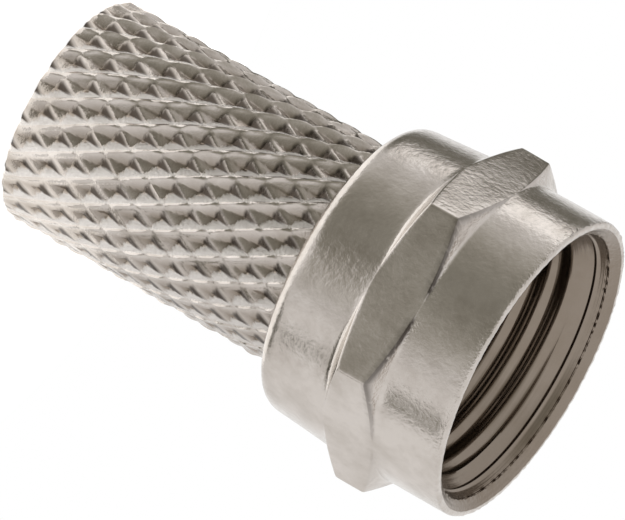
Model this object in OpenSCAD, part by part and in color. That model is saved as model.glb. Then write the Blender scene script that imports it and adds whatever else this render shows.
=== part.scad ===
// Twist-on F connector: a cable sleeve with pressed diamond knurling carrying a hexagon coupling nut
// that turns freely on it.  Upright, cable end down; +Z is the mating axis, the mouth is on top.
// Units: millimetres.

/* [Cable sleeve] */
// Length of the sleeve from its rear face to the shoulder under the nut
sleeve_length = 11.2; // [9:0.1:14]
// Diameter over the crests of the knurl
knurl_diameter = 8.3; // [8.1:0.05:9]
// Chamfer at the rear edge of the sleeve
sleeve_chamfer = 0.3; // [0.1:0.05:0.6]
// Bore that takes the cable jacket (minor diameter of its coarse thread)
cable_bore_diameter = 6.3; // [5.6:0.1:6.8]
// Depth of the cable bore from the rear face
cable_bore_depth = 9.6; // [7:0.1:10.2]
// Lead-in chamfer of the cable bore
cable_lead_in = 0.35; // [0.1:0.05:0.5]
// Through hole for the cable dielectric
dielectric_bore_diameter = 5.0; // [4.2:0.1:5.3]
// Neck of the sleeve on which the nut turns
neck_diameter = 6.9; // [6.5:0.1:7.3]
// Thickness of the flared rim that keeps the nut on the neck
rim_thickness = 0.8; // [0.5:0.1:1.2]

/* [Knurl] */
// Ridges of each hand around the sleeve
knurl_starts = 25; // [18:1:30]
// Helix angle of the right-hand ridges from the axis
right_helix_angle = 31.8; // [25:0.1:35]
// Helix angle of the left-hand ridges from the axis
left_helix_angle = 29.4; // [25:0.1:35]
// Depth of the diamond pits below the ridge crests
pit_depth = 0.32; // [0.15:0.01:0.36]
// Half width of the right-hand ridges at the mouth of the pits
right_ridge_half = 0.12; // [0.03:0.01:0.18]
// Half width of the left-hand ridges at the mouth of the pits
left_ridge_half = 0.06; // [0.03:0.01:0.15]
// Height of a ridge half way between two crossings over the crossings themselves
crest_rise = 0.08; // [0.02:0.01:0.12]
// Plain land between the knurl and the shoulder
front_land = 0.3; // [0.2:0.05:0.8]

/* [Coupling nut] */
// Length of the nut
nut_length = 7.5; // [6.8:0.1:9]
// Spanner size of the hexagon
across_flats = 11.0; // [10.8:0.1:12]
// Length of the straight corner edges of the hexagon
hexagon_land = 1.06; // [0.6:0.02:1.6]
// Angle of the corner chamfers from the nut's face
corner_chamfer_angle = 28; // [15:1:40]
// Length of the round skirt in front of the hexagon
skirt_length = 2.62; // [2:0.02:3.2]
// Height of the skirt's surface over the flats
skirt_over_flats = 0.05; // [0.02:0.01:0.12]
// Height of the collar's front end over the flats
collar_over_flats = 0.07; // [0.02:0.01:0.12]
// Radius lost over the length of the tapered collar
collar_taper = 0.24; // [0.05:0.01:0.4]
// Radius of the round on the collar's rear edge
collar_edge_radius = 0.45; // [0.2:0.05:0.7]
// Round on the outer edge of the mouth
mouth_edge_radius = 0.12; // [0.05:0.01:0.2]

/* [Nut bore] */
// Bore of the nut (minor diameter of the 3/8-32 UNEF-2B thread)
thread_bore_diameter = 8.86; // [8.6:0.02:9]
// Diameter of the countersink at the mouth
mouth_diameter = 10.1; // [9.7:0.05:10.4]
// Depth of the plain lead-in in front of the thread
lead_in_depth = 0.9; // [0.4:0.05:1.2]
// Diameter at the inner end of the lead-in
lead_in_diameter = 9.6; // [9.4:0.05:9.8]
// Thickness of the nut's rear wall
rear_wall = 1.5; // [1.2:0.05:2]
// Depth of the relief in which the sleeve's rim turns, past the bore's wall
relief_depth = 0.42; // [0.2:0.02:0.5]
// Length of the relief in front of the rim
relief_margin = 0.3; // [0.1:0.05:0.6]

/* [Fits] */
// Radial clearance between the neck and the nut
neck_clearance = 0.08; // [0.05:0.01:0.2]
// Axial play of the nut between the shoulder and the rim
end_play = 0.1; // [0.05:0.01:0.3]
// Radial clearance between the rim and the nut's bore
rim_clearance = 0.3; // [0.1:0.05:0.6]

/* [Hidden] */
$fn = 96;
rim_diameter = thread_bore_diameter - 2 * rim_clearance;
nut_hole_diameter = neck_diameter + 2 * neck_clearance;
neck_length = rear_wall + end_play;
across_corners = across_flats / cos(30);
skirt_radius = across_flats / 2 + skirt_over_flats;
collar_radius = across_flats / 2 + collar_over_flats;
chamfer_rise = tan(corner_chamfer_angle);
front_chamfer_length = (across_corners / 2 - skirt_radius) * chamfer_rise;
rear_chamfer_length = (across_corners / 2 - collar_radius) * chamfer_rise;
relief_end = rear_wall + end_play + rim_thickness + relief_margin;
relief_radius = thread_bore_diameter / 2 + relief_depth;
collar_length = nut_length - skirt_length - front_chamfer_length - hexagon_land - rear_chamfer_length;
mouth_z = sleeve_length + nut_length;
edge_steps = 6;

// Knurl lattice: ridges of both hands cross on rings half a pitch apart
knurl_radius = knurl_diameter / 2;
crossing_radius = knurl_radius - crest_rise;
knurl_length = sleeve_length - sleeve_chamfer - front_land;
pitch_around = 360 / knurl_starts;
arc_pitch = PI * knurl_diameter / knurl_starts;
right_rate = tan(right_helix_angle) / arc_pitch;
left_rate = tan(left_helix_angle) / arc_pitch;
ring_count = round(knurl_length * (right_rate + left_rate));
ring_step = knurl_length / ring_count;
drift_per_mm = pitch_around * (right_rate - left_rate) / 2;
right_inset = right_ridge_half / (arc_pitch * cos(right_helix_angle));
left_inset = left_ridge_half / (arc_pitch * cos(left_helix_angle));
core_radius = knurl_radius - pit_depth - 0.05;
shell_radius = core_radius - 0.25;
edge_margin = 0.06;

colour_nickel = [0.76, 0.74, 0.71];
colour_sleeve = [0.70, 0.68, 0.64];

// Point of the lattice: k counts rings from the rear, c counts ridges around
function lattice_point(k, c, r) =
    let (z = sleeve_chamfer + k * ring_step, a = c * pitch_around + drift_per_mm * z)
    [r * cos(a), r * sin(a), z];

function ring_point(c, r, z) =
    let (a = c * pitch_around + drift_per_mm * z) [r * cos(a), r * sin(a), z];

// Mouth corner of a pit: u steps along the right-hand ridges, v along the left-hand ones
function pit_point(k, c, u, v, r) = lattice_point(k + u + v, c + (u - v) / 2, r);

// Closed shell whose outside is the knurl; its inside lies within the wall of the plain tube.
// A crossing on ring k stands half a pitch round from its two neighbours on ring k + 1.
module knurl_shell() {
    n = knurl_starts;
    last = ring_count;
    fine = 4;
    rear_z = edge_margin;
    front_z = sleeve_length - front_land + edge_margin;
    edge_radius = knurl_radius - pit_depth;
    u = left_inset;
    v = right_inset;
    crossings = [for (k = [0 : last]) for (c = [0 : n - 1])
        lattice_point(k, c + (k % 2) / 2, crossing_radius)];
    // half way along the right-hand, then the left-hand ridge that leaves a crossing forwards
    crests = [for (k = [0 : last - 1]) for (c = [0 : n - 1]) for (side = [1, -1])
        lattice_point(k + 0.5, c + (k % 2) / 2 + side / 4, knurl_radius)];
    // four mouth corners and the bottom of the pit in front of every crossing
    pits = [for (k = [0 : last - 2]) for (c = [0 : n - 1]) let (q = c + (k % 2) / 2)
        each [pit_point(k, q, u, v, crossing_radius), pit_point(k, q, 1 - u, v, crossing_radius),
              pit_point(k, q, 1 - u, 1 - v, crossing_radius), pit_point(k, q, u, 1 - v, crossing_radius),
              pit_point(k, q, 0.5, 0.5, knurl_radius - pit_depth)]];
    // inner rear, outer rear, outer front and inner front circles
    rims = [for (ring = [[shell_radius, rear_z], [edge_radius, rear_z],
                         [edge_radius, front_z], [shell_radius, front_z]])
        for (c = [0 : n * fine - 1]) ring_point(c / fine, ring[0], ring[1])];
    crest_start = len(crossings);
    pit_start = crest_start + len(crests);
    rim_start = pit_start + len(pits);

    function crossing(k, c) = k * n + (c + n) % n;
    function crest(k, c, side) = crest_start + 2 * crossing(k, c) + side;
    function rim(ring, c) = rim_start + ring * n * fine + (c + n * fine) % (n * fine);

    pit_faces = [for (k = [0 : last - 2]) for (c = [0 : n - 1])
        let (p = pit_start + 5 * crossing(k, c), odd = k % 2,
             rear = crossing(k, c), front = crossing(k + 2, c),
             right = crossing(k + 1, c + odd), left = crossing(k + 1, c + odd - 1),
             rr = crest(k, c, 0), rl = crest(k, c, 1),
             fr = crest(k + 1, c + odd, 1), fl = crest(k + 1, c + odd - 1, 0))
        each [[rear, p, rr], [rr, p, p + 1], [rr, p + 1, right],
              [right, p + 1, fr], [fr, p + 1, p + 2], [fr, p + 2, front],
              [front, p + 2, fl], [fl, p + 2, p + 3], [fl, p + 3, left],
              [left, p + 3, rl], [rl, p + 3, p], [rl, p, rear],
              [p, p + 4, p + 1], [p + 1, p + 4, p + 2], [p + 2, p + 4, p + 3], [p + 3, p + 4, p]]];
    // the half diamonds at both ends stay plain and run out to the end circles
    rear_faces = [for (c = [0 : n - 1])
        let (a = crossing(0, c), b = crossing(0, c + 1), tip = crossing(1, c),
             right = crest(0, c, 0), left = crest(0, c + 1, 1), e = fine * c)
        each [[a, right, b], [b, right, left], [right, tip, left],
              [rim(1, e), a, rim(1, e + 1)], [rim(1, e + 1), a, rim(1, e + 2)], [rim(1, e + 2), a, b],
              [rim(1, e + 2), b, rim(1, e + 3)], [rim(1, e + 3), b, rim(1, e + 4)]]];
    front_faces = [for (c = [0 : n - 1])
        let (a = crossing(last, c), b = crossing(last, c + 1), m = c + last % 2, tip = crossing(last - 1, m),
             left = crest(last - 1, m, 1), right = crest(last - 1, m, 0), e = fine * c + (last % 2) * fine / 2)
        each [[a, b, left], [b, right, left], [right, tip, left],
              [a, rim(2, e), rim(2, e + 1)], [a, rim(2, e + 1), rim(2, e + 2)], [a, rim(2, e + 2), b],
              [b, rim(2, e + 2), rim(2, e + 3)], [b, rim(2, e + 3), rim(2, e + 4)]]];
    rim_faces = [for (pair = [[0, 1], [2, 3], [3, 0]]) for (c = [0 : n * fine - 1])
        each [[rim(pair[0], c), rim(pair[1], c), rim(pair[1], c + 1)],
              [rim(pair[0], c), rim(pair[1], c + 1), rim(pair[0], c + 1)]]];
    polyhedron(points = concat(crossings, crests, pits, rims),
        faces = concat(pit_faces, rear_faces, front_faces, rim_faces), convexity = 10);
}

module knurled_sleeve() {
    color(colour_sleeve) {
        knurl_shell();
        rotate_extrude() polygon([
            [cable_bore_diameter / 2 + cable_lead_in, 0],
            [core_radius - edge_margin, 0],
            [core_radius, edge_margin],
            [core_radius, sleeve_length],
            [neck_diameter / 2, sleeve_length],
            [neck_diameter / 2, sleeve_length + neck_length],
            [rim_diameter / 2, sleeve_length + neck_length],
            [rim_diameter / 2, sleeve_length + neck_length + rim_thickness],
            [dielectric_bore_diameter / 2, sleeve_length + neck_length + rim_thickness],
            [dielectric_bore_diameter / 2, cable_bore_depth],
            [cable_bore_diameter / 2, cable_bore_depth],
            [cable_bore_diameter / 2, cable_lead_in]]);
    }
}

// Outer profile of the nut without its hexagon
function collar_edge() = [for (i = [0 : edge_steps]) let (a = 90 * i / edge_steps,
    r = collar_radius - collar_taper - collar_edge_radius)
    [r + collar_edge_radius * sin(a), collar_edge_radius * (1 - cos(a))]];

function mouth_edge() = [for (i = [0 : edge_steps]) let (a = 90 * i / edge_steps)
    [skirt_radius - mouth_edge_radius * (1 - cos(a)), nut_length - mouth_edge_radius * (1 - sin(a))]];

module nut_body() {
    rotate_extrude() polygon(concat(
        [[nut_hole_diameter / 2, 0]],
        collar_edge(),
        [[collar_radius, collar_length + rear_chamfer_length],
         [skirt_radius, nut_length - skirt_length - front_chamfer_length]],
        mouth_edge(),
        [[mouth_diameter / 2, nut_length],
         [lead_in_diameter / 2, nut_length - lead_in_depth],
         [thread_bore_diameter / 2, nut_length - lead_in_depth - (lead_in_diameter - thread_bore_diameter) / 2],
         [thread_bore_diameter / 2, relief_end],
         [relief_radius, relief_end],
         [relief_radius, rear_wall],
         [nut_hole_diameter / 2, rear_wall]]));
}

// Hexagon with its corners turned to a cone on both sides
module hexagon() {
    corner = across_corners / 2;
    rear = collar_length;
    front = nut_length - skirt_length;
    inner = relief_radius + edge_margin;
    difference() {
        intersection() {
            translate([0, 0, rear]) cylinder(d = across_corners, h = front - rear, $fn = 6);
            rotate_extrude() polygon([
                [0, rear],
                [collar_radius, rear],
                [corner, rear + rear_chamfer_length],
                [corner + edge_margin, rear + rear_chamfer_length],
                [corner + edge_margin, front - front_chamfer_length],
                [corner, front - front_chamfer_length],
                [skirt_radius, front],
                [0, front]]);
        }
        translate([0, 0, rear - edge_margin]) cylinder(r = inner, h = front - rear + 2 * edge_margin);
    }
}

module coupling_nut() {
    color(colour_nickel) translate([0, 0, sleeve_length]) {
        nut_body();
        hexagon();
    }
}

knurled_sleeve();
coupling_nut();
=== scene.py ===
"""A screw-on coaxial cable connector: a diamond-knurled sleeve and a hexagonal coupling nut.

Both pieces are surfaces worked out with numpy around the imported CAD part, and wear nickel plating
made from nodes. Sizes in the property groups are in metres, and the shapes are worked out in
millimetres in the CAD part's own frame: the sleeve's rear face lies on Z = 0, and +Z runs to the
mouth of the nut.
"""

import math
from types import SimpleNamespace

import bpy
import numpy as np
from bpy.props import FloatProperty, FloatVectorProperty, IntProperty, PointerProperty
from mathutils import Matrix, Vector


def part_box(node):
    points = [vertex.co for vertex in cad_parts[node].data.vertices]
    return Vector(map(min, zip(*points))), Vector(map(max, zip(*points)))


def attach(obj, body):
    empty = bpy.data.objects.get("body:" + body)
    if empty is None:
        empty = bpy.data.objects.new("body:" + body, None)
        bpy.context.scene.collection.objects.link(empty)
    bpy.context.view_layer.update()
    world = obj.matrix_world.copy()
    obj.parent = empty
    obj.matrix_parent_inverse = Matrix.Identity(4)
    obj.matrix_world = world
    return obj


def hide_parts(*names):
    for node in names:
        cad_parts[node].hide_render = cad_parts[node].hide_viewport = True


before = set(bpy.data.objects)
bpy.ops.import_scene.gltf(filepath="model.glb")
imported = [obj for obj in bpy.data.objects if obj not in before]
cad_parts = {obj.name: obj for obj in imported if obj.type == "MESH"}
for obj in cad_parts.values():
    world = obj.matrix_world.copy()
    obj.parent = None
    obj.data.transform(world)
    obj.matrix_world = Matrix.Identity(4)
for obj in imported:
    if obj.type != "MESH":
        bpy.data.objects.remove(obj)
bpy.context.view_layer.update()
sleeve_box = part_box("knurled_sleeve")
nut_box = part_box("coupling_nut")

bl_info = {
    "name": "Knurled coaxial connector",
    "version": (1, 0, 0),
    "blender": (4, 5, 0),
    "location": "3D View > Sidebar > Connector",
    "description": "Builds the knurled sleeve, the coupling nut and their studio",
    "category": "Add Mesh",
}

MM = 0.001
TAU = 2 * math.pi
KNURL_STEPS = 20  # points from one ridge to the next around the knurl
MOST_RINGS = 40  # rows of pits that the table of uneven depths has room for
# the plain turned faces get part of the pits' painted shade
BORE_MARK = 0.6  # how deep in a pit the plain turned faces count as, for their tint
FLOOR_SIDES = 96
SENSOR = 36  # width of the camera's sensor in mm
BORE_SIDE, SKIN = 5.3, 5.4  # radii between the nut's bore and its outside, in mm


# ---------------------------------------------------------------- sizes and colours


def length(name, default, description):
    """A length property whose default is given in millimetres."""
    return FloatProperty(
        name=name, description=description, default=default * MM, unit="LENGTH", precision=5
    )


def turn(name, default, description):
    """An angle property whose default is given in degrees."""
    return FloatProperty(
        name=name, description=description, default=math.radians(default), unit="ROTATION"
    )


def plain(name, default, description, low=0.0, high=10.0):
    """A property that is a share or a brightness, between two limits."""
    return FloatProperty(name=name, description=description, default=default, min=low, max=high)


def linear(code):
    """Linear RGB of an sRGB hex colour."""
    part = [int(code[i : i + 2], 16) / 255 for i in (0, 2, 4)]
    return tuple(c / 12.92 if c <= 0.04045 else ((c + 0.055) / 1.055) ** 2.4 for c in part)


def colour(name, code, description):
    """A colour property whose default is an sRGB hex value."""
    return FloatVectorProperty(
        name=name, description=description, default=linear(code), subtype="COLOR", size=3, min=0, max=1
    )


class SleeveSizes(bpy.types.PropertyGroup):
    knurl_diameter: length("Knurl diameter", 8.3, "Across the highest ridges")
    shoulder_height: length("Shoulder height", nut_box[0].z / MM, "From the rear face to the nut's rear face")
    first_ring: length("First ring", 0.3, "From the rear face to the knurl's first crossings")
    worn_edge: length("Rear edge", 0.17, "How far the rear edge of the knurl is broken")
    front_land: length("Front land", 0.3, "From the knurl's last crossings to the nut")
    starts: IntProperty(name="Ridges", description="Number of ridges of each hand around", default=25, min=8)
    right_angle: turn("Right-hand helix", 31.8, "Between the dipped ridges and the axis")
    left_angle: turn("Left-hand helix", 29.4, "Between the sharp ridges and the axis")
    knurl_turn: turn("Knurl turn", -9.0, "Turns the whole pattern about the axis")
    knurl_shift: length("Knurl shift", -0.60, "Moves the whole pattern along the axis")
    pit_depth: length("Pit depth", 0.32, "From the highest ridge to the bottom of a pit")
    pit_lean: plain(
        "Pit lean", 0.46, "Where a pit is deepest between two dipped ridges, 0.5 for the middle", 0.2, 0.8
    )
    crest_rise: length("Crest rise", 0.08, "Of a ridge between two crossings")
    saddle: plain(
        "Saddle", 0.25, "Share of the pit depth by which a dipped ridge falls between two sharp ones", 0, 1
    )
    land_depth: length("Level land", 0.15, "How much less deep the pits are on the less pressed side")
    land_turn: turn("Pressed side", 150.0, "Angle about the axis at which the pits are deepest")
    dipped_half: length("Dipped ridge", 0.03, "Half the width of a right-hand ridge")
    sharp_half: length("Sharp ridge", 0.06, "Half the width of a left-hand ridge")
    core_diameter: length("Core diameter", 7.56, "Of the plain wall behind the nut")
    neck_diameter: length("Neck diameter", 6.9, "Of the neck that the nut turns on")
    neck_length: length("Neck length", 1.6, "From the shoulder to the rim")
    rim_diameter: length("Rim diameter", 8.26, "Of the rim that holds the nut")
    tip_height: length("Tip height", sleeve_box[1].z / MM, "From the rear face to the front of the rim")
    dielectric_bore: length("Insulator bore", 5.0, "Diameter of the front bore")
    cable_bore: length("Cable bore", 6.3, "Diameter at the crests of the cable thread")
    cable_depth: length("Cable bore depth", 9.6, "From the rear face")
    cable_pitch: length("Cable thread pitch", 1.25, "Of the coarse thread that bites into the cable's jacket")
    cable_thread: length("Cable thread depth", 0.22, "From crest to root")


class NutSizes(bpy.types.PropertyGroup):
    height: length("Nut length", (nut_box[1].z - nut_box[0].z) / MM, "From rear face to mouth")
    across_flats: length("Across flats", 10.94, "Of the hexagon, where its faces are not crowned")
    collar_diameter: length("Collar diameter", 11.10, "Widest diameter behind the hexagon")
    collar_taper: length("Collar taper", 0.25, "How much the collar's radius falls to the rear")
    collar_length: length("Collar length", 2.955, "From the rear face to the hexagon")
    collar_round: length("Collar round", 0.62, "Radius of the rear edge")
    skirt_diameter: length("Skirt diameter", 11.1, "Of the front skirt")
    skirt_length: length("Skirt length", 2.62, "From the hexagon to the mouth")
    corner_angle: turn("Corner chamfer", 28.0, "Of the cone that turns down the hexagon's corners")
    flat_crown: length("Flat crown", 0.09, "How far the middle of each flat stands proud")
    edge_round: length("Edge round", 0.07, "How far the hexagon's edges are worn round")
    rear_fillet: length("Rear fillet", 0.22, "Where the hexagon's rear cone runs into the collar")
    mouth_round: length("Mouth round", 0.13, "Radius of the mouth's outer edge")
    mouth_diameter: length("Mouth diameter", 10.62, "Of the countersink")
    countersink_diameter: length("Countersink foot", 10.0, "Diameter at the countersink's inner edge")
    countersink_depth: length("Countersink depth", 0.24, "Of the cone in the mouth")
    lead_in_depth: length("Lead-in depth", 0.9, "Of the plain bore before the thread")
    lead_in_diameter: length("Lead-in diameter", 9.56, "Where the thread starts")
    thread_minor: length("Thread minor diameter", 8.86, "Across the thread's crests")
    thread_major: length("Thread major diameter", 9.22, "Across the plated thread's roots")
    thread_pitch: length("Thread pitch", 25.4 / 32, "32 turns to the inch")
    relief_diameter: length("Relief diameter", 9.7, "Of the groove the sleeve's rim turns in")
    relief_end: length("Relief end", 2.7, "From the rear face")
    rear_wall: length("Rear wall", 1.5, "Thickness of the wall held by the rim")
    hole_diameter: length("Hole diameter", 7.06, "Of the hole the neck turns in")


class FinishSettings(bpy.types.PropertyGroup):
    nickel: colour("Nickel", "D8D2CC", "Bright nickel plating")
    nickel_dull: colour("Dull nickel", "BFB8B0", "Handled and oxidised plating")
    # painted shade: this colour darkens the pits and the bores, where shade falls
    recess_shade: colour("Recess", "7A6C5C", "Plating in the pits and bores, where it is thin and stained")
    # partly painted highlight: the frosted flanks are rougher, and this whiter colour paints the softbox's
    # light on them
    frost_and_highlight: colour("Frost", "F8F6F4", "Plating on the frosted flanks of the pits")
    # painted shade: the dark colour on the steep sides of the pits and along the hexagon's near front edges
    stain: colour("Stain", "352D26", "Brown stain in the steep side of the pits")
    floor: colour("Floor", "F2F1EF", "Matt paper floor")


class StudioSettings(bpy.types.PropertyGroup):
    tilt: turn("Tilt", 18.8, "How far the camera looks down on the part")
    roll: turn("Roll", 29.6, "Of the camera about its line of sight")
    distance: FloatProperty(
        name="Distance", description="From the camera to the part", default=0.6, unit="LENGTH"
    )
    view_width: length("View width", 20.83, "What the picture's long side spans at the part")
    aim_x: length("Aim X", 0.40, "Point in the middle of the view")
    aim_z: length("Aim Z", 10.1, "Point in the middle of the view")
    floor_radius: length("Floor radius", 14.0, "Of the paper disc under the part")
    table_level: plain("Table", 0.88, "Brightness of the table")
    room_level: plain("Room", 0.78, "Brightness of the room above the table")
    camera_level: plain("Camera", 0.22, "Brightness of the camera's side")
    dark_level: plain("Dark end", 0.10, "Brightness of the left end")
    window_level: plain("Window", 0.95, "Brightness of the side window")
    lamp_level: plain("Softbox", 1.35, "Brightness of the softbox")


def in_mm(group):
    """The group's lengths in millimetres and its other values as they are, by name."""
    sizes = {}
    for p in group.bl_rna.properties:
        if p.identifier not in ("rna_type", "name"):
            value = getattr(group, p.identifier)
            sizes[p.identifier] = value / MM if getattr(p, "unit", "") == "LENGTH" else value
    return SimpleNamespace(**sizes)


# ---------------------------------------------------------------- surfaces


def smooth_step(x, low, high):
    """0 below low, 1 above high, and a cubic with level ends between."""
    t = np.clip((x - low) / (high - low), 0, 1)
    return t * t * (3 - 2 * t)


def ripple(angle, z, wave, seed, count=28):
    """Seamless random waviness between about -1 and 1: a sum of cosines of turn number times angle plus
    frequency times z, with wavelengths near wave, measured on a circle of 4 mm radius."""
    rng = np.random.default_rng(seed)
    heading = rng.uniform(0, math.pi, count)
    number = rng.uniform(0.6, 1.6, count) / wave
    around = np.round(number * np.cos(heading) * TAU * 4.0)
    along = TAU * number * np.sin(heading)
    phase = rng.uniform(0, TAU, count)
    total = np.zeros(np.broadcast(angle, z).shape)
    for a, b, p in zip(around, along, phase):
        total += np.cos(a * angle + b * z + p)
    return total * math.sqrt(2 / count) / 2


def circle(radius, height, angle):
    """Points at that radius, height and angle about Z, as rows of x, y, z."""
    radius, height, angle = np.broadcast_arrays(radius, height, angle)
    return np.stack([radius * np.cos(angle), radius * np.sin(angle), height], -1)


def rounded(corners, reach, steps):
    """Profile through the corners with its corners rounded: each becomes a quadratic curve from a point
    its reach before it to a point its reach behind, and no reach takes up more than 0.45 of an edge.
    corners is corner by column by (r, z), and the answer is row by column by (r, z)."""
    rows = []
    last = len(corners) - 1
    for k, point in enumerate(corners):
        if k in (0, last) or reach[k] == 0:
            rows.append(point)
            continue
        before, after = corners[k - 1] - point, corners[k + 1] - point
        long_in = np.maximum(np.linalg.norm(before, axis=-1, keepdims=True), 1e-9)
        long_out = np.maximum(np.linalg.norm(after, axis=-1, keepdims=True), 1e-9)
        back = before / long_in * np.minimum(reach[k], 0.45 * long_in)
        on = after / long_out * np.minimum(reach[k], 0.45 * long_out)
        for t in np.linspace(0, 1, steps[k] + 1):
            rows.append(point + (1 - t) ** 2 * back + t**2 * on)
    return np.stack(rows)


def between(rows, parts):
    """The profile's rows with each edge k cut into parts[k] equal steps (1 where parts has no entry)."""
    out = []
    for k in range(len(rows) - 1):
        n = parts.get(k, 1)
        out += [rows[k] + (rows[k + 1] - rows[k]) * i / n for i in range(n)]
    return np.stack(out + [rows[-1]])


def ring_faces(first, second):
    """Triangles between two closed rings of vertex numbers that face out of a profile that runs from the
    first to the second. Rings of the same count are joined square by square, and one of half the count
    is joined to the other by threes."""
    n, m = len(first), len(second)
    if n == m:
        a, b, c, d = first, np.roll(first, -1), np.roll(second, -1), second
        return np.concatenate([np.stack([a, b, c], -1), np.stack([a, c, d], -1)])
    many, few = (first, second) if n > m else (second, first)
    a, b, c = many[0::2], many[1::2], np.roll(many[0::2], -1)
    p, q = few, np.roll(few, -1)
    faces = np.concatenate([np.stack([a, b, p], -1), np.stack([b, q, p], -1), np.stack([b, c, q], -1)])
    return faces if n > m else faces[:, ::-1]


def lattice_faces(grid, along_sharp):
    """Triangles of a grid of vertex numbers whose squares are cut along one diagonal or the other, so
    that a ridge that runs slantwise through the grid is one unbroken line of edges."""
    a, b = grid[:-1], np.roll(grid[:-1], -1, 1)
    d, c = grid[1:], np.roll(grid[1:], -1, 1)
    first = np.where(along_sharp[..., None], np.stack([a, b, d], -1), np.stack([a, b, c], -1))
    second = np.where(along_sharp[..., None], np.stack([b, c, d], -1), np.stack([a, c, d], -1))
    return np.concatenate([first.reshape(-1, 3), second.reshape(-1, 3)])


def make_piece(name, points, faces, crease=math.radians(35), **marks):
    """A mesh object at the origin from points in millimetres and triangles, shaded smooth where its faces
    meet at less than the crease angle, with one number per point for each mark that its material reads."""
    mesh = bpy.data.meshes.new(name)
    mesh.vertices.add(len(points))
    mesh.vertices.foreach_set("co", (points * MM).astype(np.float32).ravel())
    mesh.loops.add(faces.size)
    mesh.loops.foreach_set("vertex_index", faces.astype(np.int32).ravel())
    mesh.polygons.add(len(faces))
    mesh.polygons.foreach_set("loop_start", np.arange(0, faces.size, 3, dtype=np.int32))
    mesh.update(calc_edges=True)
    for key, value in marks.items():
        mesh.attributes.new(key, "FLOAT", "POINT").data.foreach_set("value", value.astype(np.float32).ravel())
    mesh.shade_smooth()
    mesh.set_sharp_from_angle(angle=crease)
    if mesh.validate():
        raise RuntimeError(name + " has faulty faces")
    old = bpy.data.objects.get(name)
    if old:
        bpy.data.objects.remove(old)
    piece = bpy.data.objects.new(name, mesh)
    bpy.context.collection.objects.link(piece)
    return piece


def knurl_cells(s):
    """Sizes of the knurl's lattice, worked out from the sleeve's sizes."""
    arc = math.pi * s.knurl_diameter / s.starts
    right, left = math.tan(s.right_angle) / arc, math.tan(s.left_angle) / arc
    span = s.shoulder_height - s.first_ring - s.front_land
    rings = round(span * (right + left))
    return SimpleNamespace(
        arc=arc,
        step=span / rings,
        drift=(right - left) / 2,
        sharp=s.sharp_half / (arc * math.cos(s.left_angle)),
        dipped=s.dipped_half / (arc * math.cos(s.right_angle)),
    )


def warp(value, edge, steps, fine):
    """Moves the lines of a lattice coordinate so that line number steps of each cell falls on the
    ridge's edge. Straight pieces run between the crest, the two edges and the next crest."""
    cell = np.floor(value + 1e-9)
    part = value - cell
    return cell + np.interp(part, [0, steps / fine, 1 - steps / fine, 1], [0, edge, 1 - edge, 1])


def way_in(part, middle, edge):
    """Share of the way from the nearer ridge's edge to a pit's deepest line, across one cell."""
    return np.where(part < middle, (part - edge) / (middle - edge), (1 - part - edge) / (1 - middle - edge))


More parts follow.
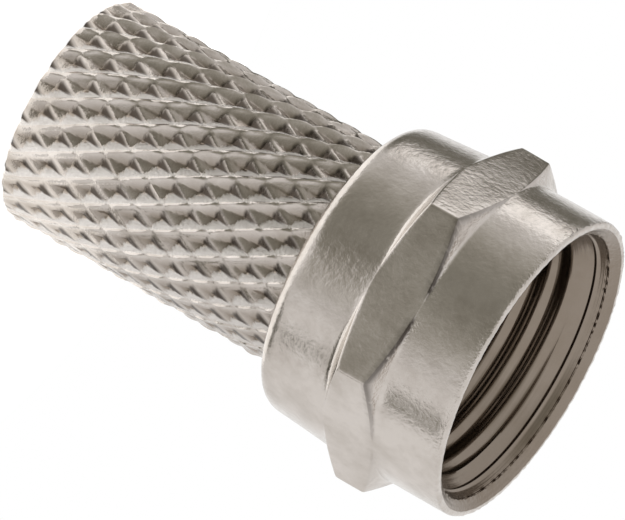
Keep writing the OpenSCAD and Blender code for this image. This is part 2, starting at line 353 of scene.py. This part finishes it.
def knurl_surface(s):
    """The knurled outside, as rows of points from the rear face to the nut.
    With k the number of rings from the first crossings and c the number of ridge pitches around, the
    sharp left-hand ridges lie where alpha = c + k / 2 is whole, and the dipped right-hand ones where
    beta = c - k / 2 is whole. A pit's depth is the lesser of its two shares of the way in from a ridge,
    so it has four faces, and its deepest line leans off the middle. The dipped ridges start at the
    saddle's share instead of nothing, and the sharp ones rise in an arc from crossing to crossing. The
    land takes a depth off all pits, most on the side away from the pressed one. facet marks the frosted
    flanks, whose edges are torn by a ripple and which get a whiter painted highlight, and the steep flanks
    beside the dipped ridges are marked for a dark painted shade."""
    cell = knurl_cells(s)
    fine = KNURL_STEPS
    top = s.shoulder_height - 0.1  # the knurl ends just before the nut
    k_first, k_last = -s.first_ring / cell.step, (top - s.first_ring) / cell.step
    k = np.arange(math.ceil(k_first * fine / 2), math.floor(k_last * fine / 2) + 1) * 2 / fine
    k = np.concatenate([[k_first], k, [k_last]])[:, None]
    c = (np.arange(s.starts * fine) / fine)[None, :]
    alpha, beta = c + k / 2, c - k / 2
    ends = smooth_step(k, k_first, 0.6) * (1 - smooth_step(k, k_last - 0.6, k_last))
    alpha = alpha + ends * (warp(alpha, cell.sharp, 1, fine) - alpha)
    beta = beta + ends * (warp(beta, cell.dipped, 1, fine) - beta)
    c, k = (alpha + beta) / 2, alpha - beta
    z = s.first_ring + k * cell.step
    angle = c * TAU / s.starts + cell.drift * z * TAU / s.starts + s.knurl_turn
    shift = s.knurl_shift / cell.step / 2
    alpha, beta = alpha - shift, beta + shift

    # uneven pressing: the ridges wander a little, and no two pits are alike
    alpha = alpha + 0.016 * ripple(angle, z, 1.1, 3)
    beta = beta + 0.020 * ripple(angle, z, 0.9, 4)
    ring = np.floor(alpha).astype(int) - np.floor(beta).astype(int)
    post = np.floor(beta).astype(int) % s.starts
    luck = np.random.default_rng(11).uniform(-1, 1, (MOST_RINGS, s.starts, 4))[ring + 3, post]
    fa, fb = alpha - np.floor(alpha), beta - np.floor(beta)
    da, db = 0.5 - np.abs(fa - 0.5), 0.5 - np.abs(fb - 0.5)
    middle_a, middle_b = 0.5 + 0.05 * luck[..., 0], s.pit_lean + 0.04 * luck[..., 1]
    ta, tb = way_in(fa, middle_a, cell.sharp), way_in(fb, middle_b, cell.dipped)
    tb = s.saddle + (1 - s.saddle) * np.clip(tb, 0, 1) ** 1.15
    pit = np.clip(np.minimum(ta, tb), 0, 1)
    depth = (s.pit_depth - s.crest_rise) * (1 + 0.10 * luck[..., 2])
    # the wheel pressed less deep on one side: the pits are smaller there, with level land between them
    land = s.land_depth * (0.5 - 0.5 * np.cos(angle - s.land_turn)) ** 8 * (1 + 0.25 * luck[..., 3])
    crest = 4 * fb * (1 - fb) * np.clip(1 - da / (1.6 * cell.sharp), 0, 1)
    torn = 0.10 * ripple(angle, z, 0.22, 7, 40)
    # the frosted flanks are rougher and are also painted whiter as a painted highlight
    facet = smooth_step(fa - middle_a, 0.0, 0.12) * smooth_step(tb - ta + torn, -0.1, 0.1)
    facet = facet * smooth_step(ta, 0.02, 0.15) * smooth_step(0.80 + torn - ta, 0, 0.15)
    # painted shade: the steep flanks beside the dipped ridges, where the pits shade themselves, are marked to
    # be painted dark
    stain = smooth_step(middle_b - fb, -0.03, 0.04) * smooth_step(ta - tb, -0.12, 0.05)
    stain = stain * smooth_step(pit, 0.15, 0.45)
    height = -s.crest_rise + s.crest_rise * crest - np.maximum(depth * pit - land, 0)
    height = height + 0.012 * ripple(angle, z, 0.7, 5) * (0.4 + pit)
    height = height + 0.012 * facet * ripple(angle, z, 0.16, 8, 60)
    radius = s.knurl_diameter / 2 - 0.004 + np.minimum(height, 0)

    # the rear edge is broken by an uneven cone of 45 degrees
    cone = s.knurl_diameter / 2 - s.worn_edge + np.maximum(z, 0) + 0.04 * ripple(angle, z, 0.6, 6) - 0.03
    radius = np.minimum(radius, cone)
    along_sharp = (da[:-1] + np.roll(da[:-1], -1, 1)) < (db[:-1] + np.roll(db[:-1], -1, 1))
    points = circle(radius, z, angle)
    marks = dict(pit=pit, facet=facet, stain=stain)
    return SimpleNamespace(points=points, angle=angle, along_sharp=along_sharp, **marks)


def sleeve_bore(s, angle):
    """Rings of the sleeve from its shoulder over the neck and the rim and back through the bores: a
    profile carried around Z. In the cable bore the radius follows a rounded sawtooth of
    z / pitch - angle / turn, which is a right-hand thread."""
    r = lambda d: d / 2
    tip, neck_top = s.tip_height, s.shoulder_height + s.neck_length
    corners = [
        (r(s.core_diameter), s.shoulder_height),
        (r(s.neck_diameter), s.shoulder_height),
        (r(s.neck_diameter), neck_top),
        (r(s.rim_diameter), neck_top),
        (r(s.rim_diameter), tip),
        (r(s.dielectric_bore), tip),
        (r(s.dielectric_bore), s.cable_depth),
        (r(s.cable_bore) - 0.02, s.cable_depth),
    ]
    corners = np.array(corners)[:, None, :] * np.ones((1, len(angle), 1))
    outline = rounded(corners, [0, 0.02, 0.05, 0.12, 0.15, 0.06, 0.1, 0], [0, 1, 2, 3, 4, 3, 2, 0])
    rings = [circle(p[:, 0], p[:, 1], angle) for p in outline]
    for z in np.linspace(s.cable_depth - 0.02, 0.36, 76):
        turns = (z / s.cable_pitch - angle / TAU) % 1.0
        tooth = smooth_step(np.abs(turns - 0.5), 0.14, 0.42)
        fade = smooth_step(z, 0.3, 1.2) * (1 - smooth_step(z, s.cable_depth - 0.7, s.cable_depth))
        rings.append(circle(r(s.cable_bore) + s.cable_thread * tooth * fade, z, angle))
    # the countersink at the rear, as radius and height
    for radius, z in ((3.19, 0.28), (3.47, 0.03), (3.52, 0.0), (3.62, 0.0)):
        rings.append(circle(radius, z, angle))
    return rings


def sleeve_mesh(s):
    """The whole sleeve as one closed surface: the knurled outside and the groove before the nut in rings
    of the same count, and the neck, rim and bores in rings of half as many."""
    outside = knurl_surface(s)
    rows, many = outside.angle.shape
    base = outside.points.reshape(-1, 3)
    grid = np.arange(rows * many).reshape(rows, many)
    faces = [lattice_faces(grid, outside.along_sharp)]
    front, core = outside.angle[-1], s.core_diameter / 2
    groove = [circle(core + 0.02, s.shoulder_height - 0.05, front), circle(core, s.shoulder_height, front)]
    points, last, count = [base], grid[-1], len(base)
    for ring in groove + sleeve_bore(s, outside.angle[0, ::2]):
        number = np.arange(count, count + len(ring))
        points.append(ring)
        faces.append(ring_faces(last, number))
        last, count = number, count + len(ring)
    faces.append(ring_faces(last, grid[0]))
    points = np.concatenate(points)
    pit, facet, stain = np.zeros((3, len(points)))
    for mark, values in ((pit, outside.pit), (facet, outside.facet), (stain, outside.stain)):
        mark[: len(base)] = values.ravel()
    # painted shade: the shoulder, neck, rim and bores are darkened like a pit at this depth
    pit[len(base) + len(groove) * many :] = BORE_MARK
    return points, np.concatenate(faces), pit, facet, stain


def hexagon_radius(angle, across_flats, crown):
    """Radius of a hexagon with corners on the X axis: half the width across flats, divided by the
    largest cosine of the angle to a flat, taken as a high power mean so that the corners are rounded.
    The crown adds a parabola that is highest in the middle of each flat and nothing at its corners."""
    power = 220
    total = sum(np.clip(np.cos(angle - math.radians(30 + 60 * i)), 0, 1) ** power for i in range(6))
    off = (np.degrees(angle) % 60 - 30) / 30
    return (across_flats / 2 + crown * (1 - off**2)) / total ** (1 / power)


def nut_angles():
    """Angles around the nut, with more of them near the hexagon's corners."""
    u = np.linspace(-1, 1, 81)[:-1]
    part = 30 * (0.45 * u + 0.55 * np.sin(math.pi / 2 * u))
    return np.radians(np.concatenate([part + 30 + 60 * i for i in range(6)]))


def nut_mesh(n):
    """The coupling nut as one closed surface. Its outline in each half plane through the axis runs over
    the collar, up the chamfer cone to the hexagon's radius at that angle, along the flat, down to the
    skirt and round the mouth. The bore then follows the thread: the radius swings between the
    minor and major radius with z / pitch - angle / turn, cut to flat crests and roots."""
    angle = nut_angles()
    one = np.ones_like(angle)
    hexagon = hexagon_radius(angle, n.across_flats, n.flat_crown)
    collar, skirt = n.collar_diameter / 2, n.skirt_diameter / 2
    rise = math.tan(n.corner_angle)
    front = n.height - n.skirt_length
    rear_end = n.collar_length + np.maximum(hexagon - collar, 0) * rise
    front_end = front - np.maximum(hexagon - skirt, 0) * rise
    rear = collar - n.collar_taper

    def at(radius, z):
        return np.stack([radius * one, z * one], -1)

    lead, foot = n.lead_in_diameter / 2, n.countersink_diameter / 2
    start = n.height - n.lead_in_depth
    # radius, height, how far the corner is rounded and in how many steps, and steps to the next corner
    table = [
        (n.hole_diameter / 2, 0, 0, 0, 1),
        (rear, 0, n.collar_round, 8, 10),
        (collar, n.collar_length - 0.05, n.rear_fillet, 4, 2),
        (hexagon, rear_end, n.edge_round, 3, 8),
        (hexagon, front_end, n.edge_round, 3, 2),
        (skirt, front, 0.10, 3, 8),
        (skirt, n.height, n.mouth_round, 5, 2),
        (n.mouth_diameter / 2, n.height, 0.03, 2, 6),
        (foot, n.height - n.countersink_depth, 0.03, 2, 5),
        (foot - 0.11, n.height - 0.60, 0.03, 2, 1),
        (foot - 0.20, n.height - 0.66, 0.03, 3, 1),
        (foot - 0.13, n.height - 0.76, 0.03, 3, 1),
        (lead, start, 0, 0, 1),
    ]
    radii, heights, reach, steps, parts = zip(*table)
    outline = rounded(np.stack([at(*corner) for corner in zip(radii, heights)]), reach, steps)
    corner_end = np.cumsum([step + 1 for step in steps]) - 1
    outline = between(outline, {int(i): part for i, part in zip(corner_end, parts)})
    r, z = outline[..., 0], outline[..., 1]
    # the outside is a little uneven, and the burrs round the mouth and inside it are ragged
    outside = smooth_step(r, 5.25, SKIN)
    r = r + outside * (0.010 * ripple(angle, z, 2.6, 21, 20) - 0.012)
    burr = smooth_step(z, n.height - 0.16, n.height - 0.02) * smooth_step(r, 5.2, SKIN)
    inner_burr = np.exp(-(((z - n.height + n.countersink_depth) / 0.05) ** 2)) * (r < foot + 0.1)
    level = z * 0
    r = r + burr * 0.016 * ripple(angle, level, 0.35, 22)
    r = r - inner_burr * 0.03 * (ripple(angle, level, 0.25, 24) + 0.6)
    z = np.minimum(z - burr * 0.012 * (1 + ripple(angle, level, 0.25, 23)), n.height)

    thread = []
    minor, major = n.thread_minor / 2, n.thread_major / 2
    for height in np.linspace(start, n.relief_end, 84)[1:]:
        turns = (height / n.thread_pitch - angle / TAU + 0.3) % 1.0
        tooth = smooth_step(np.abs(turns - 0.5), 0.02, 0.48)
        full = minor + (major - minor) * tooth
        cone = lead - (start - height) * 0.7
        thread.append(at(np.maximum(full, cone), height))
    rest = [
        at(n.relief_diameter / 2, n.relief_end - 0.02),
        at(n.relief_diameter / 2, n.rear_wall + 0.06),
        at(n.relief_diameter / 2 - 0.06, n.rear_wall),
        at(n.hole_diameter / 2 + 0.04, n.rear_wall),
        at(n.hole_diameter / 2, n.rear_wall - 0.04),
    ]
    inner = np.stack(thread + rest)
    r, z = np.concatenate([r, inner[..., 0]]), np.concatenate([z, inner[..., 1]])
    rows, many = r.shape
    points = circle(r, z + nut_box[0].z / MM, angle).reshape(-1, 3)
    grid = np.arange(rows * many).reshape(rows, many)
    faces = [ring_faces(grid[i], grid[(i + 1) % rows]) for i in range(rows)]
    inside = np.ones((rows, many))
    bare = rows - len(inner)
    inside[:bare] = (r[:bare] < n.mouth_diameter / 2 + 0.01) * (z[:bare] > n.relief_end)
    # marks of handling: nicks on the burrs along the hexagon's front edges and round the mouth's outer edge,
    # and a dark speckled line painted along the front edges of the flats around 272 degrees as the painted
    # shadow of the burr
    fleck = ripple(angle, z, 0.16, 25, 40)
    off_skirt = smooth_step(hexagon - skirt, 0.01, 0.05)
    near_flat = (0.5 + 0.5 * np.cos(angle - math.radians(272))) ** 6
    edge = np.exp(-(((z - front_end) / 0.055) ** 2)) * off_skirt * (r > BORE_SIDE)
    scar = np.clip(edge * (1.7 + 0.8 * fleck), 0, 1) * near_flat
    lip = np.exp(-(((z - n.height + 0.07) / 0.06) ** 2)) * smooth_step(r, 5.38, 5.5)
    lip += np.exp(-(((z - front_end - 0.10) / 0.04) ** 2)) * off_skirt * (r > BORE_SIDE)
    lip += 0.6 * smooth_step(z, n.height - 0.42, n.height - 0.25) * (r < SKIN)
    return points, np.concatenate(faces), inside.ravel(), scar.ravel(), np.clip(lip, 0, 1).ravel()


# ---------------------------------------------------------------- materials


def add(tree, kind, inputs=None, **settings):
    """Adds a node with its settings, and sets or links its inputs by name or number."""
    node = tree.nodes.new(kind)
    for key, value in settings.items():
        setattr(node, key, value)
    for key, value in (inputs or {}).items():
        if isinstance(value, bpy.types.NodeSocket):
            tree.links.new(value, node.inputs[key])
        else:
            node.inputs[key].default_value = value
    return node


def rgba(colour):
    """A colour property with full alpha."""
    return tuple(colour) + (1.0,)


def new_material(name):
    """An empty node material of that name and its tree."""
    material = bpy.data.materials.get(name) or bpy.data.materials.new(name)
    material.use_nodes = True
    material.node_tree.nodes.clear()
    return material, material.node_tree


def nickel_plated_barrel(f):
    """Bright nickel on a knurled brass barrel: the plating is glossy on the rolled ridges and grainy in the
    pressed pits, where it scatters into sparkles. The pits and bores are darkened by painted shade, the steep
    flanks carry a brown painted shade, and the frosted flanks a whiter painted highlight."""
    material, tree = new_material("nickel_plated_knurl")
    place = add(tree, "ShaderNodeTexCoord").outputs["Object"]
    pit = add(tree, "ShaderNodeAttribute", attribute_name="pit").outputs["Fac"]
    facet = add(tree, "ShaderNodeAttribute", attribute_name="facet").outputs["Fac"]
    # grain of the pressed metal, 0.09 mm across
    inputs = {"Vector": place, "Scale": 1 / (0.09 * MM), "Detail": 3.0, "Roughness": 0.6}
    grain = add(tree, "ShaderNodeTexNoise", inputs).outputs["Fac"]
    # stains and dull patches, about 1 mm across
    inputs = {"Vector": place, "Scale": 1 / (1.2 * MM), "Detail": 4.0, "Roughness": 0.6}
    patch = add(tree, "ShaderNodeTexNoise", inputs).outputs["Fac"]
    worn = add(tree, "ShaderNodeMapRange", {"Value": patch, "From Min": 0.35, "From Max": 0.7}).outputs[0]
    inputs = {"Factor": worn, "A": rgba(f.nickel), "B": rgba(f.nickel_dull)}
    base = add(tree, "ShaderNodeMix", inputs, data_type="RGBA")
    base = base.outputs["Result"]
    # painted shade: the pits are darkened towards the recess colour by their depth
    deep = add(tree, "ShaderNodeMath", {0: pit, 1: 0.85}, operation="MULTIPLY").outputs[0]
    tint = add(tree, "ShaderNodeMix", {"Factor": deep, "A": base, "B": rgba(f.recess_shade)}, data_type="RGBA")
    # frosted flanks are painted whiter as a painted highlight, and the steep ones dark as painted shade
    frost_and_highlight = add(tree, "ShaderNodeMath", {0: facet, 1: 0.7}, operation="MULTIPLY").outputs[0]
    inputs = {"Factor": frost_and_highlight, "A": tint.outputs["Result"], "B": rgba(f.frost_and_highlight)}
    tint = add(tree, "ShaderNodeMix", inputs, data_type="RGBA")
    # painted shade on the steep flanks
    stain = add(tree, "ShaderNodeAttribute", attribute_name="stain").outputs["Fac"]
    stained = add(tree, "ShaderNodeMath", {0: stain, 1: 0.9}, operation="MULTIPLY").outputs[0]
    inputs = {"Factor": stained, "A": tint.outputs["Result"], "B": rgba(f.stain)}
    tint = add(tree, "ShaderNodeMix", inputs, data_type="RGBA")
    tint = tint.outputs["Result"]
    inputs = {"Value": grain, "From Min": 0.3, "From Max": 0.7, "To Min": 0.10, "To Max": 0.26}
    rough = add(tree, "ShaderNodeMapRange", inputs).outputs[0]
    more = add(tree, "ShaderNodeMath", {0: facet, 1: 0.45, 2: rough}, operation="MULTIPLY_ADD").outputs[0]
    push = add(tree, "ShaderNodeMath", {0: facet, 1: 0.8, 2: 0.14}, operation="MULTIPLY_ADD").outputs[0]
    inputs = {"Height": grain, "Strength": push, "Distance": 0.06 * MM}
    bump = add(tree, "ShaderNodeBump", inputs).outputs["Normal"]
    inputs = {"Base Color": tint, "Metallic": 1.0, "Roughness": more, "Normal": bump}
    shader = add(tree, "ShaderNodeBsdfPrincipled", inputs)
    add(tree, "ShaderNodeOutputMaterial", {"Surface": shader.outputs[0]})
    return material


def nickel_plated_nut(f):
    """Bright nickel on a turned brass nut: satin, with a fine pebble grain left by the blank, bright nicks
    along the burrs, a dark line along the hexagon's near front edges that is a painted shadow of the burr,
    and a bore with fine turning lines that is darkened by painted shade."""
    material, tree = new_material("nickel_plated_nut")
    place = add(tree, "ShaderNodeTexCoord").outputs["Object"]
    inside = add(tree, "ShaderNodeAttribute", attribute_name="inside").outputs["Fac"]
    scar = add(tree, "ShaderNodeAttribute", attribute_name="scar").outputs["Fac"]
    lip = add(tree, "ShaderNodeAttribute", attribute_name="lip").outputs["Fac"]
    # pebble grain, 0.2 mm across
    inputs = {"Vector": place, "Scale": 1 / (0.20 * MM), "Detail": 3.0, "Roughness": 0.6}
    pebble = add(tree, "ShaderNodeTexNoise", inputs).outputs["Fac"]
    # nicks, 0.1 mm apart
    inputs = {"Vector": place, "Scale": 1 / (0.10 * MM), "Detail": 1.0}
    nicks = add(tree, "ShaderNodeTexNoise", inputs).outputs["Fac"]
    inputs = {"Vector": place, "Scale": 1 / (1.5 * MM), "Detail": 4.0, "Roughness": 0.6}
    patch = add(tree, "ShaderNodeTexNoise", inputs).outputs["Fac"]
    worn = add(tree, "ShaderNodeMapRange", {"Value": patch, "From Min": 0.4, "From Max": 0.75}).outputs[0]
    inputs = {"Factor": worn, "A": rgba(f.nickel), "B": rgba(f.nickel_dull)}
    tint = add(tree, "ShaderNodeMix", inputs, data_type="RGBA")
    # painted shade: the nut's bore is darkened towards the recess colour
    deep = add(tree, "ShaderNodeMath", {0: inside, 1: 0.8}, operation="MULTIPLY").outputs[0]
    inputs = {"Factor": deep, "A": tint.outputs["Result"], "B": rgba(f.recess_shade)}
    tint = add(tree, "ShaderNodeMix", inputs, data_type="RGBA")
    # painted shadow: the dark speckled line along the hexagon's near front edges
    burr_shade = add(tree, "ShaderNodeMath", {0: scar, 1: 0.95}, operation="MULTIPLY").outputs[0]
    inputs = {"Factor": burr_shade, "A": tint.outputs["Result"], "B": rgba(f.stain)}
    tint = add(tree, "ShaderNodeMix", inputs, data_type="RGBA")
    # turning lines in the bore, 0.08 mm apart
    height = add(tree, "ShaderNodeSeparateXYZ", {0: place}).outputs["Z"]
    inputs = {"W": height, "Scale": 1 / (0.08 * MM), "Detail": 1.0}
    lines = add(tree, "ShaderNodeTexNoise", inputs, noise_dimensions="1D").outputs["Fac"]
    grain = add(tree, "ShaderNodeMix", {"Factor": inside, "A": pebble, "B": lines}).outputs["Result"]
    grain = add(tree, "ShaderNodeMix", {"Factor": lip, "A": grain, "B": nicks}).outputs["Result"]
    push = add(tree, "ShaderNodeMath", {0: lip, 1: 0.8, 2: 0.28}, operation="MULTIPLY_ADD").outputs[0]
    push = add(tree, "ShaderNodeMath", {0: inside, 1: -0.16, 2: push}, operation="MULTIPLY_ADD").outputs[0]
    inputs = {"Value": pebble, "From Min": 0.3, "From Max": 0.7, "To Min": 0.16, "To Max": 0.26}
    rough = add(tree, "ShaderNodeMapRange", inputs).outputs[0]
    inputs = {"Height": grain, "Strength": push, "Distance": 0.05 * MM}
    bump = add(tree, "ShaderNodeBump", inputs).outputs["Normal"]
    inputs = {"Base Color": tint.outputs["Result"], "Metallic": 1.0, "Roughness": rough, "Normal": bump}
    shader = add(tree, "ShaderNodeBsdfPrincipled", inputs)
    add(tree, "ShaderNodeOutputMaterial", {"Surface": shader.outputs[0]})
    return material


def seen_rays(tree):
    """1 for what the camera, glossy surfaces and glass see, and 0 for light that falls on the floor."""
    path = add(tree, "ShaderNodeLightPath")
    seen = path.outputs["Is Camera Ray"]
    for name in ("Is Glossy Ray", "Is Transmission Ray"):
        seen = add(tree, "ShaderNodeMath", {0: seen, 1: path.outputs[name]}, operation="MAXIMUM").outputs[0]
    return seen


def matt_paper(f):
    """White matt paper: it keeps the soft shadow under the part and is otherwise as pale as the backdrop."""
    material, tree = new_material("matt_paper")
    seen = seen_rays(tree)
    paper = add(tree, "ShaderNodeBsdfDiffuse", {"Color": rgba(f.floor)}).outputs[0]
    pale = add(tree, "ShaderNodeMath", {0: seen, 1: 0.72}, operation="MULTIPLY").outputs[0]
    glow = add(tree, "ShaderNodeEmission", {"Color": (1, 1, 1, 1), "Strength": pale}).outputs[0]
    both = add(tree, "ShaderNodeAddShader", {0: paper, 1: glow}).outputs[0]
    add(tree, "ShaderNodeOutputMaterial", {"Surface": both})
    return material


# the studio's own axes in the part's frame: over the part, to the picture's right and towards the camera
OVER, RIGHT, NEAR = (-0.8695, -0.1590, -0.4676), (-0.4940, 0.2800, 0.8230), (0.0, -0.9466, 0.3223)


def studio_way(over, right, near):
    """Unit vector in the part's frame of a direction given along the studio's axes."""
    way = over * np.array(OVER) + right * np.array(RIGHT) + near * np.array(NEAR)
    return tuple(way / np.linalg.norm(way))


def studio_world(s):
    """Soft studio light round a white table: the far side is a white backdrop, a softbox hangs over the
    part with a darker gap between it and the backdrop, a window stands at the left, the camera and its
    stand are a dim patch, and the left end of the studio is dark with one dim spot beside it."""
    world = bpy.context.scene.world or bpy.data.worlds.new("studio")
    bpy.context.scene.world = world
    world.use_nodes = True
    tree = world.node_tree
    tree.nodes.clear()
    way = add(tree, "ShaderNodeTexCoord").outputs["Generated"]
    # level of each part of the room, painted over one another from the table up: the direction of its
    # middle, the cosines between which it fades in, and its brightness
    parts = (
        # the room above the table
        (OVER, -0.25, 0.20, s.room_level),
        # the camera and its stand
        (studio_way(0.64, -0.29, 0.71), 0.42, 1.03, s.camera_level),
        # the dark end
        (studio_way(-0.05, -0.97, -0.20), 0.90, 0.95, s.dark_level),
        # a dim spot beside it
        (studio_way(-0.55, -0.79, 0.20), 0.987, 0.995, s.camera_level),
        # the window
        (studio_way(0.36, -0.83, 0.40), 0.95, 0.98, s.window_level),
        # the gap between the softbox and the backdrop
        (studio_way(0.70, 0.30, -0.65), 0.90, 0.93, s.dark_level + 0.07),
        # the softbox
        (studio_way(0.89, 0.31, -0.34), 0.976, 0.986, s.lamp_level),
    )
    light = s.table_level
    for middle, low, high, level in parts:
        inputs = {0: way, 1: middle}
        toward = add(tree, "ShaderNodeVectorMath", inputs, operation="DOT_PRODUCT").outputs["Value"]
        inputs = {"Value": toward, "From Min": low, "From Max": high, "To Min": 0.0, "To Max": 1.0}
        cover = add(tree, "ShaderNodeMapRange", inputs).outputs[0]
        light = add(tree, "ShaderNodeMix", {"Factor": cover, "A": light, "B": level}).outputs["Result"]
    toward = add(tree, "ShaderNodeVectorMath", {0: way, 1: NEAR}, operation="DOT_PRODUCT").outputs["Value"]
    path = add(tree, "ShaderNodeLightPath").outputs
    inputs = {"Value": toward, "From Min": -0.95, "From Max": -0.80, "To Min": 1.0, "To Max": 0.0}
    behind = add(tree, "ShaderNodeMapRange", inputs, interpolation_type="SMOOTHSTEP").outputs[0]
    inputs = {0: path["Is Glossy Ray"], 1: behind}
    shown = add(tree, "ShaderNodeMath", inputs, operation="MULTIPLY").outputs[0]
    for name in ("Is Camera Ray", "Is Transmission Ray"):
        shown = add(tree, "ShaderNodeMath", {0: shown, 1: path[name]}, operation="MAXIMUM").outputs[0]
    # the dim parts of the room are warm, the bright ones nearly white
    inputs = {"Value": light, "From Min": 0.2, "From Max": 0.75, "To Min": 0.0, "To Max": 1.0}
    bright = add(tree, "ShaderNodeMapRange", inputs).outputs[0]
    inputs = {"Factor": bright, "A": (1, 0.95, 0.80, 1), "B": (1, 0.98, 0.97, 1)}
    hue = add(tree, "ShaderNodeMix", inputs, data_type="RGBA")
    inputs = {0: hue.outputs["Result"], "Scale": light}
    warm = add(tree, "ShaderNodeVectorMath", inputs, operation="SCALE").outputs[0]
    shade = add(tree, "ShaderNodeMix", {"Factor": shown, "A": warm, "B": (1, 1, 1, 1)}, data_type="RGBA")
    glow = add(tree, "ShaderNodeBackground", {"Color": shade.outputs["Result"], "Strength": 1.0})
    add(tree, "ShaderNodeOutputWorld", {"Surface": glow.outputs[0]})


# ---------------------------------------------------------------- operators


class CONNECTOR_OT_sleeve(bpy.types.Operator):
    """Builds the knurled sleeve with its bores"""

    bl_idname = "connector.sleeve"
    bl_label = "Knurled sleeve"

    def execute(self, context):
        points, faces, pit, facet, stain = sleeve_mesh(in_mm(context.scene.connector_sleeve))
        piece = make_piece("knurled_sleeve_metal", points, faces, pit=pit, facet=facet, stain=stain)
        piece.data.materials.append(nickel_plated_barrel(context.scene.connector_finish))
        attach(piece, "sleeve")
        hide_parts("knurled_sleeve")
        return {"FINISHED"}


class CONNECTOR_OT_nut(bpy.types.Operator):
    """Builds the coupling nut with its thread"""

    bl_idname = "connector.nut"
    bl_label = "Coupling nut"

    def execute(self, context):
        points, faces, inside, scar, lip = nut_mesh(in_mm(context.scene.connector_nut))
        piece = make_piece("coupling_nut_metal", points, faces, inside=inside, scar=scar, lip=lip)
        piece.data.materials.append(nickel_plated_nut(context.scene.connector_finish))
        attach(piece, "nut")
        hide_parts("coupling_nut")
        return {"FINISHED"}


class CONNECTOR_OT_studio(bpy.types.Operator):
    """Builds the floor, the camera and the soft studio light"""

    bl_idname = "connector.studio"
    bl_label = "Studio"

    def execute(self, context):
        s = in_mm(context.scene.connector_studio)
        angle = np.linspace(0, TAU, FLOOR_SIDES, endpoint=False)
        rings = [circle(r, -0.02, angle) for r in (0.02, s.floor_radius * 0.5, s.floor_radius)]
        number = np.arange(3 * FLOOR_SIDES).reshape(3, FLOOR_SIDES)
        faces = np.concatenate([ring_faces(number[i + 1], number[i]) for i in range(2)])
        floor = make_piece("paper_floor", np.concatenate(rings), faces)
        floor.data.materials.append(matt_paper(context.scene.connector_finish))
        studio_world(s)

        e, roll = s.tilt, s.roll
        up = np.array([0, math.sin(e), math.cos(e)])
        side = np.array([1.0, 0, 0])
        right = math.cos(roll) * up - math.sin(roll) * side
        over = -math.sin(roll) * up - math.cos(roll) * side
        back = np.array([0, -math.cos(e), math.sin(e)])
        aim = np.array([s.aim_x, 0, s.aim_z]) * MM
        distance = s.distance * MM
        camera = bpy.data.objects.new("camera", bpy.data.cameras.new("camera"))
        bpy.context.collection.objects.link(camera)
        camera.data.sensor_width = SENSOR
        camera.data.lens = SENSOR * distance / (s.view_width * MM)
        camera.data.clip_start, camera.data.clip_end = 0.01, 10
        spot = aim + back * distance
        turned = [[right[i], over[i], back[i], spot[i]] for i in range(3)]
        camera.matrix_world = Matrix(turned + [[0, 0, 0, 1]])
        context.scene.camera = camera
        context.scene.view_settings.view_transform = "Standard"
        return {"FINISHED"}


class CONNECTOR_PT_panel(bpy.types.Panel):
    """Lists the operators and their sizes"""

    bl_idname = "CONNECTOR_PT_panel"
    bl_label = "Coaxial connector"
    bl_space_type = "VIEW_3D"
    bl_region_type = "UI"
    bl_category = "Connector"

    def draw(self, context):
        for operator, group in (
            ("connector.sleeve", "connector_sleeve"),
            ("connector.nut", "connector_nut"),
            ("connector.studio", "connector_studio"),
            ("", "connector_finish"),
        ):
            box = self.layout.box()
            if operator:
                box.operator(operator)
            settings = getattr(context.scene, group)
            for p in settings.bl_rna.properties:
                if p.identifier not in ("rna_type", "name"):
                    box.prop(settings, p.identifier)


GROUPS = {
    "connector_sleeve": SleeveSizes,
    "connector_nut": NutSizes,
    "connector_finish": FinishSettings,
    "connector_studio": StudioSettings,
}
CLASSES = (CONNECTOR_OT_sleeve, CONNECTOR_OT_nut, CONNECTOR_OT_studio, CONNECTOR_PT_panel)


def register():
    for name, group in GROUPS.items():
        bpy.utils.register_class(group)
        setattr(bpy.types.Scene, name, PointerProperty(type=group))
    for kind in CLASSES:
        bpy.utils.register_class(kind)


def unregister():
    for kind in reversed(CLASSES):
        bpy.utils.unregister_class(kind)
    for name, group in reversed(GROUPS.items()):
        delattr(bpy.types.Scene, name)
        bpy.utils.unregister_class(group)


def main():
    """Builds everything in order."""
    register()
    bpy.ops.connector.studio()
    bpy.ops.connector.sleeve()
    bpy.ops.connector.nut()


if __name__ == "__main__":
    main()
